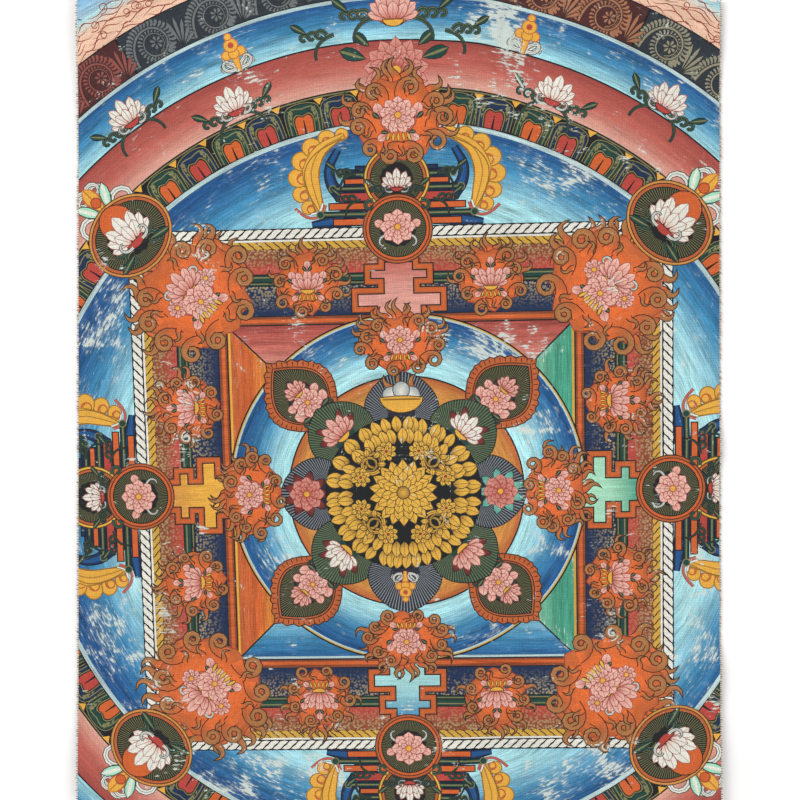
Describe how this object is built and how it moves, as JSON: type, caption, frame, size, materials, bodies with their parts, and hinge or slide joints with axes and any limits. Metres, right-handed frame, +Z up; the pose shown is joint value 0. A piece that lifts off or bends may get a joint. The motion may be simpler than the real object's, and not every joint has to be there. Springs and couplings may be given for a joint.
{
  "type": "painted scroll canvas",
  "caption": "Flat cut length of primed cotton canvas, hand painted with a mandala of rings, a four-gated square and a lotus; lies on a surface.",
  "frame": {"origin": "under the middle of the cloth, on the surface that it lies on", "axes": "+Z up out of the painted face, +Y towards the picture's top edge, +X to the picture's right"},
  "size_m": [0.19, 0.238, 0.0048],
  "materials": {
    "painted_cotton": "matte mineral paint on primed plain-weave cotton, worn in places"
  },
  "bodies": {
    "root": {"painted_canvas": "painted_cotton"}
  },
  "joints": []
}
